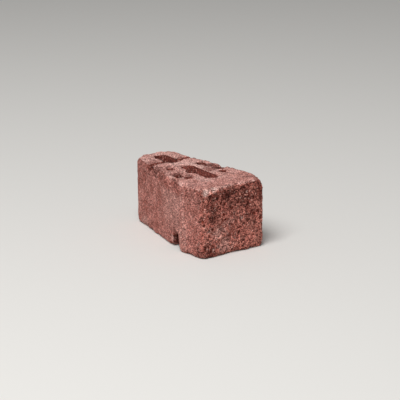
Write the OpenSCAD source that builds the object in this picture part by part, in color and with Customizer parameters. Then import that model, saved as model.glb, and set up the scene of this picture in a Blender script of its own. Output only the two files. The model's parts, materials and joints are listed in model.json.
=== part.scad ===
// Split-face wall block, dry-cast in one piece from pigmented concrete and tumbled to wear its edges.
// Frame: +Z up, the split face towards -Y, the tail towards +Y, origin at the centre of the underside.
// Distances named "_from_face" run back from the highest point of the split face.

/* [Block] */
// Height of one course
block_h = 150; // [120:1:200]
// Depth from the split face to the tail
block_d = 315; // [300:1:400]
// Width across the split face
face_w = 162; // [150:1:200]
// Width across the shoulders, the widest part
shoulder_w = 176; // [170:1:240]
// Width of the tail
tail_w = 88; // [80:1:120]
// Distance of the shoulders from the split face
shoulder_from_face = 71; // [50:1:90]

/* [Worn edges] */
// Plan radius of the corners beside the split face
face_corner_r = 15; // [12:1:24]
// Plan radius of the shoulders
shoulder_r = 30; // [12:1:60]
// Plan radius of the corners of the tail
tail_corner_r = 22; // [12:1:30]
// Rounding of the upper edges
top_edge_r = 9; // [3:0.5:11]
// Rounding of the lower edges
bottom_edge_r = 7; // [3:0.5:11]
// Share by which the rounding comes and goes along an edge
edge_wear = 0.5; // [0:0.05:0.6]
// Distance between worn places along an edge
wear_pitch = 23; // [14:1:40]
// Share by which a square corner is worn more than an edge
corner_wear = 0.6; // [0:0.05:0.8]
// Share by which an edge is worn more where a piece has broken off
bite_wear = 0.9; // [0:0.05:1]

/* [Split face] */
// Depth of the hollows in the split face
split_depth = 9; // [1:0.5:14]
// Distance between the lumps of the split face
lump_pitch = 26; // [16:1:40]
// Choice of one split out of many
split_seed = 11; // [1:1:99]

/* [Cores] */
// Solid left between the split face and the middle core
face_web = 75; // [60:1:85]
// Solid left between the middle core and the tail core
cross_web = 36; // [25:1:45]
// Solid left between the tail core and the tail
tail_web = 29; // [24:1:40]
// Share of the length of both cores that the middle core takes
middle_core_share = 0.61; // [0.5:0.01:0.7]
// Width of the middle core
core_w = 28; // [24:1:36]
// Width of the tail core
tail_core_w = 31; // [26:1:34]
// Radius of the corners of both cores
core_corner_r = 11; // [4:0.5:11.5]
// Width of the piece broken out of the left rim of the middle core
broken_rim_w = 34; // [20:1:40]
// Depth of the broken rim
broken_rim_depth = 14; // [4:1:16]

/* [Pin holes] */
// Diameter of a pin hole
pin_hole_d = 16; // [10:0.5:18]
// Distance of the front pair from the split face
front_pins_from_face = 103; // [100:1:106]
// Distance between the front pair
front_pins_apart = 88; // [76:1:92]
// Distance of the middle pair from the split face
middle_pins_from_face = 125; // [122:1:140]
// Distance between the middle pair
middle_pins_apart = 107; // [100:1:112]
// Distance of the rear pair from the split face
rear_pins_from_face = 178; // [165:1:190]
// Distance between the rear pair
rear_pins_apart = 79; // [72:1:88]

/* [Pin channel] */
// Width of the channel at the underside
channel_w = 36; // [28:1:44]
// Height of the channel
channel_h = 36; // [24:1:40]
// Radius of the crown of the channel
channel_crown_r = 10; // [6:0.5:12]
// Distance of the middle of the channel from the split face
channel_from_face = 96; // [60:1:120]

/* [Break line] */
// Width of the groove at the top
groove_w = 14; // [6:0.5:16]
// Depth of the groove
groove_depth = 8; // [3:0.5:12]
// Distance of the groove behind the front end of the tail core
groove_behind = 17; // [8:1:30]

/* [Hidden] */
$fn = 64;

// How far a cutter runs past the faces that it opens
past = 1;

// Steps of the faceted body
face_columns = 20;
side_step = 10;
wall_levels = 16;
edge_levels = 3;
corner_steps = 4;

face_y = -block_d / 2;
tail_y = block_d / 2;

// Turns a distance from the split face into a place along Y
function from_face(distance) = face_y + distance;

// Lengths of the cores, which share what the webs leave of the depth
cores_l = block_d - face_web - cross_web - tail_web;
core_l = cores_l * middle_core_share;
tail_core_l = cores_l - core_l;
tail_core_from_face = face_web + core_l + cross_web;

// The rim is broken this share of the way along the middle core
broken_rim_place = 0.6;

// The break line crosses the front part of the tail core
groove_from_face = tail_core_from_face + groove_behind;

// Plan of the block before its corners are rounded, anticlockwise from the left of the split face
shoulder_y = from_face(shoulder_from_face);
plan = [
    [-face_w / 2, face_y], [face_w / 2, face_y], [shoulder_w / 2, shoulder_y],
    [tail_w / 2, tail_y], [-tail_w / 2, tail_y], [-shoulder_w / 2, shoulder_y]
];
plan_r = [face_corner_r, face_corner_r, shoulder_r, tail_corner_r, tail_corner_r, shoulder_r];
sides = len(plan);

// Direction in which the side that starts at corner i faces
function facing(i) =
    let (step = plan[(i + 1) % sides] - plan[i % sides])
    atan2(step.y, step.x) - 90;

// Angle that the outline turns through at corner i
function turn(i) = (facing(i) - facing(i + sides - 1) + 360) % 360;

// Centre of the round at corner i
function round_centre(i) =
    let (bisector = facing(i) - turn(i) / 2)
    plan[i] - plan_r[i] / cos(turn(i) / 2) * [cos(bisector), sin(bisector)];

// Outline of the block as [place, way inwards, furthest inset, exposure to wear] for each point
function round_points(i) = [
    for (step = [0:corner_steps])
        let (
            angle = facing(i) - turn(i) * (1 - step / corner_steps),
            out = [cos(angle), sin(angle)],
            exposure = 1 + corner_wear * turn(i) / 90 * sin(180 * step / corner_steps)
        )
        [round_centre(i) + plan_r[i] * out, -out, plan_r[i] - 1, exposure]
];
function side_points(i) =
    let (
        out = [cos(facing(i)), sin(facing(i))],
        next = (i + 1) % sides,
        start = round_centre(i) + plan_r[i] * out,
        end = round_centre(next) + plan_r[next] * out,
        columns = i == 0 ? face_columns : max(1, round(norm(end - start) / side_step))
    )
    [for (column = [1:1:columns - 1])
        [start + (end - start) * column / columns, -out, block_d, 1]];
outline = [
    for (i = [0:sides - 1])
        each concat(round_points(i), side_points(i))
];

// Levels of the body as [height, inset], from just below the underside to just above the top
wall_step = (block_h - bottom_edge_r - top_edge_r) / wall_levels;
past_inset = 1.3;
levels = concat(
    [[-past, bottom_edge_r * past_inset]],
    [for (step = [1:edge_levels])
        let (angle = 90 * step / edge_levels)
        [bottom_edge_r * (1 - cos(angle)), bottom_edge_r * (1 - sin(angle))]],
    [for (step = [1:wall_levels - 1]) [bottom_edge_r + wall_step * step, 0]],
    [for (step = [0:edge_levels - 1])
        let (angle = 90 * step / edge_levels)
        [block_h - top_edge_r * (1 - sin(angle)), top_edge_r * (1 - cos(angle))]],
    [[block_h + past, top_edge_r * past_inset]]
);

// Heights of the lumps on a square net, and the smooth surface through them, from 0 to 1
net = 24;
lumps = rands(0, 1, net * net, split_seed);
function ease(t) = t * t * (3 - 2 * t);
function lump(column, row) = lumps[column % net + net * (row % net)];
function lump_surface(u, v) =
    let (
        column = floor(u),
        row = floor(v),
        s = ease(u - column),
        t = ease(v - row)
    )
    (lump(column, row) * (1 - s) + lump(column + 1, row) * s) * (1 - t)
    + (lump(column, row + 1) * (1 - s) + lump(column + 1, row + 1) * s) * t;

// Hollow of the split face at a place, from large lumps and a finer set on top of them
fine_lumps = 2.3;
fine_share = 0.35;
function hollow(x, z) =
    let (u = (x + shoulder_w) / lump_pitch, v = (z + past) / lump_pitch)
    split_depth * (
        (1 - fine_share) * lump_surface(u, v)
        + fine_share * lump_surface(u * fine_lumps, v * fine_lumps)
    );

// The highest lump lies in the plane of the split face
highest_lump = min([
    for (level = levels)
        if (level[1] == 0)
            for (point = side_points(0))
                hollow(point[0].x, level[0])
]);

// How much of the hollow a point takes: all on the split face, fading round its corners
function face_share(index) =
    let (
        last = 2 * corner_steps + face_columns,
        from_end = min(index, last - index)
    )
    index > last ? 0 : min(1, from_end / (corner_steps + 1));

// Places on the upper edge where a piece has broken off, as [place, radius]
bites = [
    [[-face_w / 2 + 8, face_y + 6], 18],
    [[face_w / 2 - 6, face_y + 4], 18],
    [[-shoulder_w / 2, shoulder_y + 5], 14],
    [[-shoulder_w / 2 + 9, shoulder_y + 48], 26],
    [[-shoulder_w / 2 + 14, shoulder_y + 82], 16],
    [[shoulder_w / 2 - 12, shoulder_y + 66], 18]
];
function bite(place) = max([
    for (place_and_radius = bites)
        max(0, 1 - norm(place - place_and_radius[0]) / place_and_radius[1])
]);

// How far the edge is worn away at a point, as a share of its even round
function wear(point, z) =
    let (
        u = (point[0].x + block_d) / wear_pitch,
        v = (point[0].y + block_d) / wear_pitch + (z > block_h / 2 ? 0 : net / 2),
        broken = z > block_h / 2 ? bite_wear * ease(bite(point[0])) : 0
    )
    point[3] * (1 + edge_wear * (2 * lump_surface(u, v) - 1)) + broken;

// Height of a level where its edge is worn, which stays clear of the next level of the wall
deepest_wear = 1 + 0.8 * wall_step / max(top_edge_r, bottom_edge_r);
function worn_height(z, worn) =
    let (share = min(worn, deepest_wear))
    z < 0 || z > block_h ? z
    : z >= block_h - top_edge_r ? block_h - (block_h - z) * share
    : z <= bottom_edge_r ? z * share
    : z;

function body_point(index, level_z, inset) =
    let (
        point = outline[index],
        worn = wear(point, level_z),
        z = worn_height(level_z, worn),
        place = point[0] + point[1] * min(point[2], inset * worn),
        depth = face_share(index) * (hollow(place.x, z) - highest_lump)
    )
    [place.x, place.y + max(0, depth), z];

// Block without its cores, as one lofted skin of level rings, trimmed flat at both beds
module body() {
    ring = len(outline);
    top = len(levels) - 1;
    intersection() {
        polyhedron(
            points = [
                for (level = levels, index = [0:ring - 1])
                    body_point(index, level[0], level[1])
            ],
            faces = concat(
                [[for (i = [0:ring - 1]) i]],
                [[for (i = [ring - 1:-1:0]) top * ring + i]],
                [for (level = [0:top - 1], i = [0:ring - 1], half = [0, 1])
                    let (
                        a = level * ring + i,
                        b = level * ring + (i + 1) % ring
                    )
                    half == 0 ? [a, a + ring, b + ring] : [a, b + ring, b]]
            ),
            convexity = 4
        );
        translate([-shoulder_w, -block_d, 0])
            cube([2 * shoulder_w, 2 * block_d, block_h]);
    }
}

// Upright core with rounded corners, through the whole height
module core(width, length, distance) {
    translate([0, from_face(distance) + length / 2, -past])
        linear_extrude(block_h + 2 * past)
            union() {
                square([width, length - 2 * core_corner_r], center = true);
                square([width - 2 * core_corner_r, length], center = true);
                for (x = [-1, 1], y = [-1, 1])
                    translate([x * (width / 2 - core_corner_r), y * (length / 2 - core_corner_r)])
                        circle(r = core_corner_r);
            }
}

// Hollow where the left rim of the middle core has broken out, with its deepest place in the core
module broken_rim() {
    radius = (pow(broken_rim_w / 2, 2) + pow(broken_rim_depth, 2)) / (2 * broken_rim_depth);
    deepest_x = broken_rim_w / 6 - core_w / 2;
    translate([deepest_x, from_face(face_web + core_l * broken_rim_place), block_h - broken_rim_depth + radius])
        sphere(r = radius);
}

// One pair of upright holes, for the pins that lock the courses together
module pin_holes(apart, distance) {
    for (side = [-1, 1])
        translate([side * apart / 2, from_face(distance), -past])
            cylinder(d = pin_hole_d, h = block_h + 2 * past);
}

// Channel across the underside, which drops over the pins of the course below
module pin_channel() {
    crown_z = channel_h - channel_crown_r;
    reach = sqrt(pow(channel_w / 2, 2) + pow(crown_z, 2));
    // The flanks touch the crown where it faces them
    flank = 90 - atan2(crown_z, channel_w / 2) - asin(channel_crown_r / reach);
    touch = channel_crown_r * [cos(flank), sin(flank)];
    // The flanks run on below the underside
    foot = channel_w / 2 + past * (channel_w / 2 - touch.x) / (crown_z + touch.y);
    translate([-shoulder_w / 2 - past, from_face(channel_from_face), 0])
        rotate([90, 0, 90])
            linear_extrude(shoulder_w + 2 * past)
                union() {
                    polygon([
                        [-foot, -past], [foot, -past],
                        [touch.x, crown_z + touch.y], [-touch.x, crown_z + touch.y]
                    ]);
                    translate([0, crown_z])
                        circle(r = channel_crown_r);
                }
}

// Groove across the top where the tail can be broken off
module break_line() {
    // The flanks run on above the top
    mouth = groove_w / 2 + past * groove_w / 3 / groove_depth;
    translate([-shoulder_w / 2 - past, from_face(groove_from_face), block_h])
        rotate([90, 0, 90])
            linear_extrude(shoulder_w + 2 * past)
                polygon([
                    [-mouth, past], [-groove_w / 6, -groove_depth],
                    [groove_w / 6, -groove_depth], [mouth, past]
                ]);
}

// The whole block
module block() {
    color([0.62, 0.38, 0.34])
        difference() {
            body();
            core(core_w, core_l, face_web);
            core(tail_core_w, tail_core_l, tail_core_from_face);
            broken_rim();
            pin_holes(front_pins_apart, front_pins_from_face);
            pin_holes(middle_pins_apart, middle_pins_from_face);
            pin_holes(rear_pins_apart, rear_pins_from_face);
            pin_channel();
            break_line();
        }
}

block();
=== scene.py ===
# Looks of the split-face wall block: one dry-cast concrete casting, pigmented brick red, split and tumbled.
import json
import math

import bmesh
import bpy
import numpy as np
from mathutils import Matrix, Vector, noise


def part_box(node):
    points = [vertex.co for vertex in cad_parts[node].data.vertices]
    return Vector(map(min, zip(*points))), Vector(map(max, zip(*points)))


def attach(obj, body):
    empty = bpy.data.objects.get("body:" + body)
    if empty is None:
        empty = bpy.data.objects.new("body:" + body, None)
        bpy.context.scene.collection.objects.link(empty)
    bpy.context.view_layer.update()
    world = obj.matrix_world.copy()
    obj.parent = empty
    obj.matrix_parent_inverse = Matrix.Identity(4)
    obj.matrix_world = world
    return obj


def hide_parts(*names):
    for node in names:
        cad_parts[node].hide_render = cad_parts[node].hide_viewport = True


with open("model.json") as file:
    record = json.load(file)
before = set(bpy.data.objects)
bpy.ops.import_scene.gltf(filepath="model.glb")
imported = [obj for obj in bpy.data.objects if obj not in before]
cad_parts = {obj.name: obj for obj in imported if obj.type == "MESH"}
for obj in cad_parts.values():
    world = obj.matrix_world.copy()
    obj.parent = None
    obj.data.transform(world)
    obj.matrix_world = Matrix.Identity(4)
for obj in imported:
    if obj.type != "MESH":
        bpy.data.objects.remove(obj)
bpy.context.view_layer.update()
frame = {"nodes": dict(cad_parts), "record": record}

# Lengths are written in millimetres, and Blender works in metres
MM = 0.001

# Extent of the casting and of its openings, as the solid has them
low, high = (np.array(corner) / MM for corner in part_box("block"))
FACE_Y = low[1]
TOP_Z = high[2]
HALF_W = high[0]
openings = {
    opening["name"]: np.array(opening["box_m"]) / MM
    for opening in frame["record"]["physics"]["openings"]
}
bores = [mount for mount in frame["record"]["mounts"] if mount["kind"] == "bore"]

# Break line across the tail: its middle lies this far behind the front of the tail core
BREAK_LINE_Y = openings["tail_core"][0][1] + 11.4
BREAK_LINE_HALF_W = 7

# Squares of the skin, and how far behind the split face and below the top they are halved
SKIN_SQUARE = 2.6
HALVED_BEHIND_FACE = 26
HALVED_BELOW_TOP = 22
# Room of each stone that stands out of the split face or left a pit in it
GRAVEL = 9
# Facets in which the concrete broke: size and share of the relief
FACETS = ((18, 1.0), (8, 0.7))
# Room of each chip knocked off the edges
CHIP = 12

# Patches of the split face: middle across and up, half width, half height, tone from dark (-1) to pale (1);
# those under the top edge and at the left foot are painted shade
FACE_PATCHES_AND_PAINTED_SHADE = {
    # Painted shade under the top edge
    "under the top edge, middle": (-2, 130, 48, 18, -1.0),
    "under the top edge, right": (66, 121, 28, 18, -0.8),
    "under the top edge, left": (-48, 130, 26, 10, -0.9),
    "left border": (-80, 124, 12, 22, -0.7),
    "left, halfway up": (-48, 96, 28, 24, -0.9),
    "right, above halfway": (50, 107, 34, 15, -0.9),
    "middle, above halfway": (4, 101, 17, 22, -0.6),
    "right, halfway up": (36, 77, 15, 14, -0.9),
    "right, low": (53, 47, 12, 12, -0.4),
    # Painted shade at the foot
    "left foot": (-68, 13, 24, 19, -1.0),
    "middle": (-12, 70, 14, 12, 0.2),
    "left, below halfway": (-38, 52, 26, 16, 0.3),
    "middle foot": (-22, 22, 22, 18, 0.3),
    "middle, below halfway": (-10, 42, 10, 18, -0.4),
}

# Places where the tumbling broke crumbs off: middle, radius, depth, and tone from dark (-1) to pale (1),
# where a dark tone is painted shade in the broken hollows; where two overlap, the later one gives the tone
CRUMBLED = {
    "left top corner of the face": ((-67, -152, 145), 12, 2.5, 1.0),
    "top edge of the face, left": ((-45, -152, 150), 12, 2.5, 0.9),
    "top edge of the face, middle": ((8, -150, 150), 12, 2.0, -0.3),
    "top edge of the face, right": ((44, -150, 150), 16, 2.5, -0.5),
    "right top corner of the face": ((74, -146, 147), 20, 2.5, -0.3),
    "bed behind the right top corner": ((66, -120, 150), 18, 1.5, -0.4),
    "left shoulder": ((-84, -80, 150), 7, 2.0, 1.0),
    "left edge before the shoulder": ((-85, -108, 142), 26, 1.5, -0.45),
    "left edge behind the shoulder": ((-82, -50, 141), 22, 2.5, -0.6),
    "left edge at the middle": ((-76, -16, 149), 10, 2.0, 0.4),
    "left side under the middle": ((-76, -14, 138), 16, 2.0, -0.1),
    "left edge before the tail": ((-69, 13, 150), 7, 2.0, 0.3),
    "left side before the tail": ((-68, 18, 141), 15, 2.0, -0.6),
    "left edge beside the break line": ((-63, 46, 147), 24, 2.5, -0.9),
    "left end of the break line": ((-56, 77, 144), 16, 2.5, -0.9),
    "corner of the tail, low": ((-45, 147, 42), 24, 0.5, 0.25),
    "foot beside the tail": ((-56, 105, 8), 22, 0.5, 0.25),
    "rear rim of the channel's mouth": ((-80, -42, 18), 11, 2.0, 0.35),
    "foot behind the channel's mouth": ((-79, -42, 3), 9, 2.0, 0.35),
    "bed beside the break line, left": ((-38, 93, 150), 16, 1.5, -0.5),
    "rim of the middle core, rear": ((-4, 27, 150), 11, 2.5, -0.1),
    "rim of the middle core, front": ((4, -88, 150), 12, 1.0, 0.45),
    "bed before the middle core, left": ((-24, -82, 150), 26, 0.5, 0.3),
    "rim of the middle core, left": ((-25, -15, 150), 12, 0.5, 0.4),
    "bed beside the middle core, right": ((31, -28, 150), 20, 1.0, -0.5),
    "rim of the left middle pin hole": ((-53, -18, 149), 17, 3.0, -1.0),
    "rim of the left front pin hole": ((-40, -44, 150), 11, 2.5, -0.8),
    "rim of the left rear pin hole": ((-41, 36, 150), 14, 1.5, -0.4),
    "rim of the right rear pin hole": ((42, 25, 150), 15, 2.0, -0.9),
    "bed before the right rear pin hole": ((48, -2, 150), 20, 2.5, -1.0),
    "bed behind the right middle pin hole": ((54, -20, 150), 20, 2.5, -1.0),
    "right edge beside the middle pin hole": ((73, -20, 147), 13, 2.5, 0.2),
    "rim of the tail core, right": ((17, 74, 150), 12, 2.5, -0.8),
    "right end of the break line": ((29, 82, 149), 11, 2.5, -0.5),
}

# Bare pale stones in the split face: middle across and up, radius
BARE_STONES = ((21, 73, 4.5), (-52, 19, 3.5), (34, 128, 3.5), (-30, 62, 3.0))


# Skin of the casting

def plain_casting(square):
    """The casting's solid as one skin of even squares, fine enough to carry lumps and chips."""
    mesh = frame["nodes"]["block"].data.copy()
    weld = bmesh.new()
    weld.from_mesh(mesh)
    bmesh.ops.remove_doubles(weld, verts=weld.verts, dist=0.01 * MM)
    weld.to_mesh(mesh)
    weld.free()
    rough = bpy.data.objects.new("casting_solid", mesh)
    bpy.context.scene.collection.objects.link(rough)
    squares = rough.modifiers.new("squares", "REMESH")
    squares.mode = "VOXEL"
    squares.voxel_size = square * MM
    skin = bpy.data.meshes.new_from_object(rough.evaluated_get(bpy.context.evaluated_depsgraph_get()))
    bpy.data.objects.remove(rough)
    casting = bpy.data.objects.new("concrete_casting", skin)
    bpy.context.scene.collection.objects.link(casting)
    return casting


def halve_squares(mesh, chosen):
    """Cuts the squares whose corners are all chosen into four."""
    fine = bmesh.new()
    fine.from_mesh(mesh)
    squares = [face for face in fine.faces if all(chosen[corner.index] for corner in face.verts)]
    edges = list({edge for face in squares for edge in face.edges})
    bmesh.ops.subdivide_edges(fine, edges=edges, cuts=1, use_grid_fill=True)
    fine.to_mesh(mesh)
    fine.free()


def rows_of(items, name, width, kind=float):
    """One row of values for each point or edge of a mesh."""
    flat = np.zeros(len(items) * width, dtype=kind)
    items.foreach_get(name, flat)
    return flat.reshape(-1, width)


def points_of(mesh):
    """Every point of a mesh, in millimetres."""
    return rows_of(mesh.vertices, "co", 3) / MM


def outward_of(mesh):
    """Outward direction at every point of a mesh."""
    return rows_of(mesh.vertex_normals, "vector", 3)


def edges_of(mesh):
    """Pairs of neighbouring points."""
    return rows_of(mesh.edges, "vertices", 2, np.int32)


def rubbed(points, edges, rounds):
    """Points moved halfway to the middle of their neighbours, again and again."""
    points = points.copy()
    here, there = edges.T
    count = np.bincount(edges.ravel(), minlength=len(points))
    for _ in range(rounds):
        for axis in range(3):
            total = np.bincount(here, points[there, axis], len(points))
            total += np.bincount(there, points[here, axis], len(points))
            points[:, axis] = 0.5 * points[:, axis] + 0.5 * total / count
    return points


def ramp(value, start, end):
    """0 at start, 1 at end, and a smooth rise between."""
    t = np.clip((value - start) / (end - start), 0, 1)
    return t * t * (3 - 2 * t)


def lumps(points, size, seed):
    """Chance relief from about -1 to 1, with lumps of one size or of a size for each axis."""
    return np.array([
        noise.fractal(Vector(p), 1.0, 2.0, 2, noise_basis="PERLIN_NEW")
        for p in points / size + seed
    ])


def stones(points, size, seed):
    """Of the stone nearest to each point: how far off its middle is, a chance number and a tilted facet."""
    away, chance, facet = np.zeros((3, len(points)))
    for index, p in enumerate(points / size + seed):
        distances, centres = noise.voronoi(Vector(p))
        away[index] = distances[0]
        chance[index] = noise.cell(centres[0] * 7.3)
        tilt = noise.cell_vector(centres[0] * 3.1) - Vector((0.5, 0.5, 0.5))
        facet[index] = tilt.dot(Vector(p) - centres[0])
    return away, chance, facet


def in_box(points, box, margin):
    """1 inside a box widened by the margin of each axis, 0 outside."""
    return np.all((points > box[0] - margin) & (points < box[1] + margin), axis=1).astype(float)


casting = plain_casting(SKIN_SQUARE)
skin = casting.data

# How far each point stands out of its surroundings: above 0 on edges, below 0 in corners
points = points_of(skin)
standing = np.sum((points - rubbed(points, edges_of(skin), rounds=30)) * outward_of(skin), axis=1)
skin.attributes.new("standing", "FLOAT", "POINT").data.foreach_set("value", standing.astype(np.float32))

# The split face and the upper edges have the finest relief
on_upper_edge = (standing > 0.15) & (points[:, 2] > TOP_Z - HALVED_BELOW_TOP)
halve_squares(skin, (points[:, 1] < FACE_Y + HALVED_BEHIND_FACE) | on_upper_edge)
points = points_of(skin)
outward = outward_of(skin)
edges = edges_of(skin)
x, y, z = points.T
standing = rows_of(skin.attributes["standing"].data, "value", 1, np.float32)[:, 0]
edge = ramp(standing, 0.25, 1.6)

# Kinds of surface: the split face, the tamped top, the walls of the openings, and the moulded sides
split = ramp(-outward[:, 1], 0.25, 0.7) * ramp(FACE_Y + 30 - y, 0, 8)
bed = ramp(outward[:, 2], 0.6, 0.8) * ramp(z, TOP_Z - 14, TOP_Z - 6)
core = np.maximum(
    in_box(points, openings["middle_core"], np.array([3, 8, 0])),
    in_box(points, openings["tail_core"], np.array([5, 8, 0])))
for bore in bores:
    middle = np.array(bore["pos_m"]) / MM
    away = np.hypot(x - middle[0], y - middle[1])
    core = np.maximum(core, away < bore["dims"]["r_mm"] + 1.2)
core = core * (1 - bed) * (z > 2)
# The channel takes in its walls and crown, and ends short of its mouths
channel = in_box(points, openings["pin_channel"], np.array([-14, 7, 9]))
# The groove of the break line joins the walls of the openings, whose darker colour is painted shade
groove = (np.abs(y - BREAK_LINE_Y) < BREAK_LINE_HALF_W + 0.5) * ramp(TOP_Z - z, 1, 3) * (z > TOP_Z - 11)
core = np.maximum(core, np.maximum(channel * ramp(37 - z, 1, 11), groove))
side = np.clip(1 - split - bed - core, 0, 1)

# Chance patterns that the relief and the colours share; the mould drew its marks out upright
broad = lumps(points, size=34, seed=40.2)
crumbs = lumps(points, size=13, seed=55.9)
sand = lumps(points, size=4.2, seed=21.7)
drag = lumps(points, size=np.array([5, 5, 70]), seed=31.4)

# Stones of the split face: some stand proud, others came away with the other half and left a pit
stone, facet = np.zeros((2, len(points)))
on_face = np.flatnonzero(split > 0.02)
away, chance, _ = stones(points[on_face], GRAVEL, seed=11.3)
stone[on_face] = (1 - ramp(away, 0.3, 0.5)) * np.sign(chance) * ramp(np.abs(chance), 0.3, 0.8)
for size, share in FACETS:
    _, chance, tilt = stones(points[on_face], size, seed=4.8)
    facet[on_face] += share * (0.5 * chance + 2.2 * tilt)

# Chips along the edges, each with a border of its own
chip = np.zeros(len(points))
on_edge = np.flatnonzero(edge > 0.02)
_, chance, tilt = stones(points[on_edge], CHIP, seed=17.2)
chip[on_edge] = ramp(chance, 0.0, 0.5) * (0.8 + tilt)

# Relief in millimetres, all of it cut into the solid
depth = 0.2 * np.clip(0.6 - sand, 0, 2)
depth += split * np.clip(1.2 - 0.9 * stone - 1.0 * facet - 0.7 * sand, 0, 3)
depth += bed * (0.5 * ramp(broad, 0.1, 0.6) + 0.5 * ramp(-crumbs, 0.2, 0.7))
depth += side * (0.12 * np.clip(0.4 - drag, 0, 2) + 0.5 * ramp(-crumbs, 0.2, 0.7))
depth += edge * (0.3 + 1.0 * ramp(crumbs, 0.05, 0.65) + 2.0 * chip + 0.6 * ramp(sand, 0.0, 0.5))

# Pale where the tumbling rubbed the edges, the shoulders and the sides behind them
pale = edge * (0.3 * ramp(broad + crumbs, -0.4, 0.6) + 0.35 * chip) * ramp(outward[:, 2], 0.5, 0.85)
crest = side * ramp(np.abs(x), HALF_W - 2.4, HALF_W - 0.6) * ramp(TOP_Z - z, 12, 32)
pale = np.maximum(pale, 0.2 * crest * ramp(drag, -0.5, 0.3))
behind = ramp(y, -90, -70) * ramp(30 - y, 0, 50) * ramp(z, 25, 65) * ramp(TOP_Z - z, 20, 40)
pale = np.maximum(pale, 0.18 * side * behind)
# Dust lies along the middle of the top and on its tail, and thins out to the front and to both sides
dust = ramp(y, FACE_Y + 40, FACE_Y + 130) * (1 - 0.35 * ramp(y, 50, 110))
dust = dust * (1 - 0.5 * ramp(x, 20, 50)) * (1 - 0.8 * ramp(-x, 6, 28) * ramp(110 - y, 0, 20))
pale = np.maximum(pale, bed * dust * (0.3 + 0.3 * ramp(broad + sand, -0.4, 0.6)))

# Dark: painted shade in the channel, in the tail core and under the upper edges, and the sides a little
# darker, more so towards the top
dark_and_painted_shade = 0.9 * channel * ramp(32 - z, 0, 9)
dark_and_painted_shade = np.maximum(dark_and_painted_shade, 0.4 * core * (y > BREAK_LINE_Y - 2 * BREAK_LINE_HALF_W))
dark_and_painted_shade = np.maximum(dark_and_painted_shade, side * (0.1 + 0.15 * ramp(z, TOP_Z - 80, TOP_Z - 20)))
dark_and_painted_shade = np.maximum(dark_and_painted_shade, 0.55 * edge * (1 - bed) * ramp(z, TOP_Z - 18, TOP_Z - 10))

# The patches and painted shade of the split face, the bare stones and the crumbled places go over that, with
# ragged borders
for across, up, half_w, half_h, tone in FACE_PATCHES_AND_PAINTED_SHADE.values():
    away = np.hypot((x - across) / half_w, (z - up) / half_h) + 0.9 * crumbs + 0.5 * sand - 0.4 * stone
    there = (1 - ramp(away, 0.5, 1.15)) * ramp(FACE_Y + 26 - y, 0, 12)
    dark_and_painted_shade = np.maximum(dark_and_painted_shade, -tone * there)
    pale = np.maximum(pale * (1 + 0.8 * min(tone, 0) * there), tone * there)
for across, up, radius in BARE_STONES:
    away = np.hypot(x - across, z - up) / radius + 0.3 * sand
    pale = np.maximum(pale, 0.6 * split * (1 - ramp(away, 0.6, 1.0)))
# A crumbled place's dark tone is painted shade
for middle, radius, loss, tone in CRUMBLED.values():
    away = np.linalg.norm(points - np.array(middle), axis=1) / radius + 0.35 * crumbs + 0.2 * sand
    gone = 1 - ramp(away, 0.5, 1.0)
    depth += loss * gone
    pale += (max(tone, 0) - pale) * gone
    dark_and_painted_shade += (max(-tone, 0) - dark_and_painted_shade) * gone

# The relief goes into the skin, and shade is then painted where it is sunk below its surroundings
points = np.clip(points - outward * depth[:, None], low, high)
sunk = np.sum((rubbed(points, edges, rounds=5) - points) * outward, axis=1)
skin.vertices.foreach_set("co", (points * MM).ravel())
skin.update()
skin.shade_smooth()
finishes = {
    "split": split,
    "bed": bed,
    "core": core,
    "pale": pale,
    "dark_and_painted_shade": dark_and_painted_shade,
    # Painted shade in the pits of the split face and a painted highlight on its proud stones
    "painted_pit_shade": split * np.clip(-stone, 0, 1),
    "painted_proud_highlight": split * np.clip(stone, 0, 1),
    "painted_cavity_shade": (0.3 + 0.6 * split) * ramp(sunk, 0.03, 0.4),
}
for name, values in finishes.items():
    skin.attributes.new(name, "FLOAT", "POINT").data.foreach_set("value", values.astype(np.float32))


# Materials

def linear(hex_colour):
    """A colour written as sRGB hex, as the linear values that a shader takes."""
    channels = [int(hex_colour[i:i + 2], 16) / 255 for i in (1, 3, 5)]
    return tuple(c / 12.92 if c <= 0.04045 else ((c + 0.055) / 1.055) ** 2.4 for c in channels) + (1.0,)


def add(tree, kind, inputs=None, **settings):
    """Adds one node with its settings; an input takes a value or another node's output."""
    node = tree.nodes.new(kind)
    for name, value in settings.items():
        setattr(node, name, value)
    for socket, value in (inputs or {}).items():
        if isinstance(value, bpy.types.NodeSocket):
            tree.links.new(value, node.inputs[socket])
        else:
            node.inputs[socket].default_value = value
    return node


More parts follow.
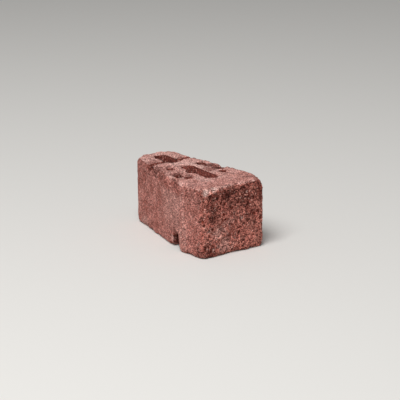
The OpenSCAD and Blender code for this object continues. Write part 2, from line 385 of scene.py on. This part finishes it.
def tumbled_dry_cast_concrete():
    """Concrete with red iron oxide, pressed damp into a mould, split open and tumbled.

    To the eye it is dead matt and sandy all over: brick red where moulded, paler and dusty on the tamped top,
    coarse and deep red where split, dark in patches and with painted shade in the openings, hollows and pores
    and under the upper edges, with painted highlights on proud stones, and pale pink where crumbs broke off.
    """
    material = bpy.data.materials.new("tumbled_dry_cast_concrete")
    material.use_nodes = True
    tree = material.node_tree
    tree.nodes.clear()
    place = add(tree, "ShaderNodeTexCoord").outputs["Object"]
    finish = {
        name: add(tree, "ShaderNodeAttribute", attribute_name=name).outputs["Fac"]
        for name in finishes
    }

    # Patches where the mix was wetter or drier, about 30 mm wide, and its mottling, 11 mm wide
    cloud = add(tree, "ShaderNodeTexNoise", {
        "Vector": place, "Scale": 1 / (30 * MM), "Detail": 5.0, "Roughness": 0.65})
    patch = add(tree, "ShaderNodeMapRange", {
        "Value": cloud.outputs["Fac"], "From Min": 0.38, "From Max": 0.62})
    mottle = add(tree, "ShaderNodeTexNoise", {
        "Vector": place, "Scale": 1 / (11 * MM), "Detail": 3.0, "Roughness": 0.6})
    # Upright marks 6 mm wide and 60 mm tall where the mould was drawn off
    upright = add(tree, "ShaderNodeMapping", {"Vector": place, "Scale": (1.0, 1.0, 0.1)})
    drag = add(tree, "ShaderNodeTexNoise", {
        "Vector": upright.outputs[0], "Scale": 1 / (6 * MM), "Detail": 2.0})
    # Sand: lumps 3.5 mm wide, and single grains, each with a tone of its own; these are drawn 1.6 mm wide,
    # coarser than real sand, so that they show
    sand = add(tree, "ShaderNodeTexNoise", {
        "Vector": place, "Scale": 1 / (3.5 * MM), "Detail": 5.0, "Roughness": 0.7})
    loose = add(tree, "ShaderNodeVectorMath", {
        0: sand.outputs["Color"], 1: (1.5 * MM, 1.5 * MM, 1.5 * MM), 2: place}, operation="MULTIPLY_ADD")
    single = add(tree, "ShaderNodeTexVoronoi", {"Vector": loose.outputs[0], "Scale": 1 / (1.6 * MM)})
    # Grit of 2 to 4 mm, one grain of uneven shape in each 5 mm, of which the palest and the darkest show
    uneven = add(tree, "ShaderNodeVectorMath", {
        0: sand.outputs["Color"], 1: (4 * MM, 4 * MM, 4 * MM), 2: place}, operation="MULTIPLY_ADD")
    grit = add(tree, "ShaderNodeTexVoronoi", {"Vector": uneven.outputs[0], "Scale": 1 / (5 * MM)})
    grain = add(tree, "ShaderNodeMapRange", {
        "Value": grit.outputs["Distance"], "From Min": 0.2, "From Max": 0.5, "To Min": 1.0, "To Max": 0.0})
    # The dark tones and the painted shade sit between the grains, so the sand breaks them up
    between = add(tree, "ShaderNodeMapRange", {
        "Value": sand.outputs["Fac"], "From Min": 0.4, "From Max": 0.6, "To Min": 1.0, "To Max": 0.45})
    dark_and_shade_between_grains = add(tree, "ShaderNodeMath", {0: finish["dark_and_painted_shade"], 1: between.outputs[0]}, operation="MULTIPLY")

    # Deep and light colour of each surface, which the patches turn into each other
    surfaces = {
        "moulded": ("#A26359", "#C08177"),
        "tamped": ("#AB7268", "#CB948B"),
        "split": ("#A76055", "#CC8476"),
    }
    for name, (deep, light) in surfaces.items():
        surfaces[name] = add(tree, "ShaderNodeMix", {
            0: patch.outputs[0], 6: linear(deep), 7: linear(light)}, data_type="RGBA").outputs[2]

    # Each layer over the moulded skin: its share, its colour and how it goes on
    layers = [
        (0.16, drag.outputs["Fac"], "OVERLAY"),
        (finish["bed"], surfaces["tamped"], "MIX"),
        (finish["split"], surfaces["split"], "MIX"),
        # Painted shade in the pits and a painted highlight on the proud stones
        (finish["painted_pit_shade"], linear("#7C3B2F"), "MIX"),
        (finish["painted_proud_highlight"], linear("#CE8577"), "MIX"),
        # Painted shade on the walls of the openings and in the groove
        (finish["core"], linear("#945248"), "MIX"),
        # Dark tones and painted shade
        (dark_and_shade_between_grains.outputs[0], linear("#42170F"), "MIX"),
        (finish["pale"], linear("#E6BFB5"), "MIX"),
        # Painted shade in the hollows of the relief
        (finish["painted_cavity_shade"], linear("#501F16"), "MIX"),
    ]
    for tone, start, end in (("#E6BDB0", 0.58, 0.72), ("#54241C", 0.44, 0.28)):
        chosen = add(tree, "ShaderNodeMapRange", {
            "Value": grit.outputs["Color"], "From Min": start, "From Max": end, "To Max": 0.32})
        share = add(tree, "ShaderNodeMath", {0: grain.outputs[0], 1: chosen.outputs[0]}, operation="MULTIPLY")
        layers.append((share.outputs[0], linear(tone), "MIX"))
    # Speckles: single grains, painted shade in the pores between the lumps of sand, and mottling, half hidden
    # where not split
    # Each has its share, its pattern, the pattern's least and most value, and the brightness of the two
    bare = add(tree, "ShaderNodeMapRange", {"Value": finish["split"], "To Min": 0.5})
    speckles = (
        (1.0, single.outputs["Color"], 0.3, 0.7, 0.45, 1.55),
        # Painted shade in the pores
        (1.0, sand.outputs["Fac"], 0.36, 0.52, 0.4, 1.16),
        (bare.outputs[0], mottle.outputs["Fac"], 0.3, 0.7, 0.6, 1.4),
    )
    for share, pattern, least, most, dim, bright in speckles:
        speckle = add(tree, "ShaderNodeMapRange", {
            "Value": pattern, "From Min": least, "From Max": most, "To Min": dim, "To Max": bright})
        layers.append((share, speckle.outputs[0], "MULTIPLY"))
    colour = surfaces["moulded"]
    for share, over, blend in layers:
        colour = add(tree, "ShaderNodeMix", {
            0: share, 6: colour, 7: over}, data_type="RGBA", blend_type=blend).outputs[2]

    # In the shading the lumps of sand stand out by 1.5 mm, the single grains by under half a millimetre
    lumpy = add(tree, "ShaderNodeBump", {
        "Height": sand.outputs["Fac"], "Distance": 1.5 * MM, "Strength": 1.0})
    grainy = add(tree, "ShaderNodeBump", {
        "Height": single.outputs["Distance"], "Distance": 0.5 * MM, "Strength": 0.7,
        "Normal": lumpy.outputs[0]}, invert=True)
    # Open pores swallow most of the sheen
    shader = add(tree, "ShaderNodeBsdfPrincipled", {
        "Base Color": colour, "Roughness": 0.92, "IOR": 1.5, "Specular IOR Level": 0.1,
        "Normal": grainy.outputs[0]})
    add(tree, "ShaderNodeOutputMaterial", {"Surface": shader.outputs[0]})
    return material


skin.materials.clear()
skin.materials.append(tumbled_dry_cast_concrete())
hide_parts("block")
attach(casting, "root")


# Studio

def pale_painted_board():
    """Board painted matt: even and pale, it keeps the block's shadow."""
    material = bpy.data.materials.new("pale_painted_board")
    material.use_nodes = True
    shader = material.node_tree.nodes["Principled BSDF"]
    shader.inputs["Base Color"].default_value = linear("#E4E2DE")
    shader.inputs["Roughness"].default_value = 0.9
    return material


def studio_floor(half_width):
    """A level board under the block, far wider than the picture; its half width is in metres."""
    corners = [
        (-half_width, -half_width, 0), (half_width, -half_width, 0),
        (half_width, half_width, 0), (-half_width, half_width, 0)]
    mesh = bpy.data.meshes.new("studio_floor")
    mesh.from_pydata(corners, [], [(0, 1, 2, 3)])
    mesh.materials.append(pale_painted_board())
    floor = bpy.data.objects.new("studio_floor", mesh)
    bpy.context.scene.collection.objects.link(floor)


def softbox(name, towards, distance, size, watts):
    """A square lamp that shines on the block from the direction towards; its lengths are in metres."""
    lamp = bpy.data.lights.new(name, "AREA")
    lamp.size = size
    lamp.energy = watts
    place = bpy.data.objects.new(name, lamp)
    direction = Vector(towards).normalized()
    place.location = Vector((0, 0, TOP_Z / 2 * MM)) + direction * distance
    place.rotation_euler = direction.to_track_quat("Z", "Y").to_euler()
    bpy.context.scene.collection.objects.link(place)


studio_floor(half_width=20)
softbox("key_softbox", towards=(-0.45, -0.28, 0.85), distance=5, size=2.7, watts=227)
world = bpy.data.worlds.new("studio_air")
world.use_nodes = True
world.node_tree.nodes["Background"].inputs["Color"].default_value = linear("#F4F4F4")
world.node_tree.nodes["Background"].inputs["Strength"].default_value = 0.25
bpy.context.scene.world = world
bpy.context.scene.view_settings.view_transform = "Standard"

# Camera where the photograph was taken from, fitted to the block's outline; the first four are in its pixels
PHOTO_WIDTH = 400
FOCAL_LENGTH = 1500
SHIFT_RIGHT = 5.8
SHIFT_UP = 2.3
AZIMUTH, ELEVATION, ROLL = map(math.radians, (-34.7, 17.4, -0.39))
AIM = Vector((0, -9.9, 74.8)) * MM
DISTANCE = 3233 * MM
away_from_block = Vector((
    math.sin(AZIMUTH) * math.cos(ELEVATION),
    -math.cos(AZIMUTH) * math.cos(ELEVATION),
    math.sin(ELEVATION)))
camera = bpy.data.objects.new("camera", bpy.data.cameras.new("camera"))
camera.data.lens = FOCAL_LENGTH / PHOTO_WIDTH * camera.data.sensor_width
camera.data.shift_x = SHIFT_RIGHT / PHOTO_WIDTH
camera.data.shift_y = SHIFT_UP / PHOTO_WIDTH
camera.location = AIM + away_from_block * DISTANCE
camera.rotation_mode = "QUATERNION"
level = (-away_from_block).to_track_quat("-Z", "Y")
camera.rotation_quaternion = level @ Matrix.Rotation(ROLL, 3, "Z").to_quaternion()
bpy.context.scene.collection.objects.link(camera)
bpy.context.scene.camera = camera
